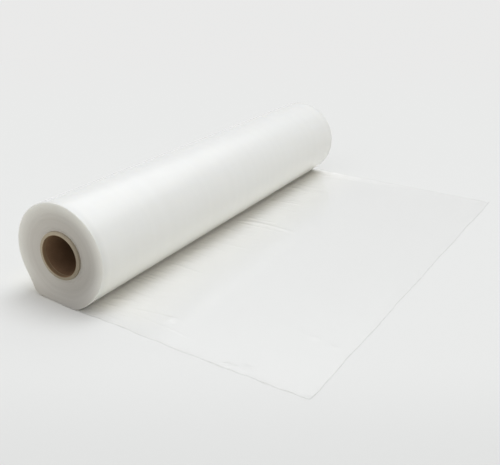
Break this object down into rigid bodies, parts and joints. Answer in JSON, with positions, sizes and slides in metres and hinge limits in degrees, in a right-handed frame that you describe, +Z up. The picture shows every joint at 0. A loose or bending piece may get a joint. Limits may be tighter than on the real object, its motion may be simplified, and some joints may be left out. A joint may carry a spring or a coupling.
{
  "type": "roll of plastic sheeting",
  "caption": "Wide roll of clear polythene sheeting on a paper core, lying on its side with the free end laid out flat.",
  "frame": {"origin": "middle of the bore of the paper core, on the axis of the roll", "axes": "+Y along the axis of the roll, away from the near end; +Z up; +X toward the free end of the sheet"},
  "size_m": [0.6425, 1.0095, 0.1892],
  "materials": {
    "core_board": "matt wound paper board",
    "clear_film": "smooth satin polythene, milky where it is wound and nearly clear as one layer"
  },
  "bodies": {
    "root": {"paper_core": "core_board", "film": "clear_film"}
  },
  "joints": []
}
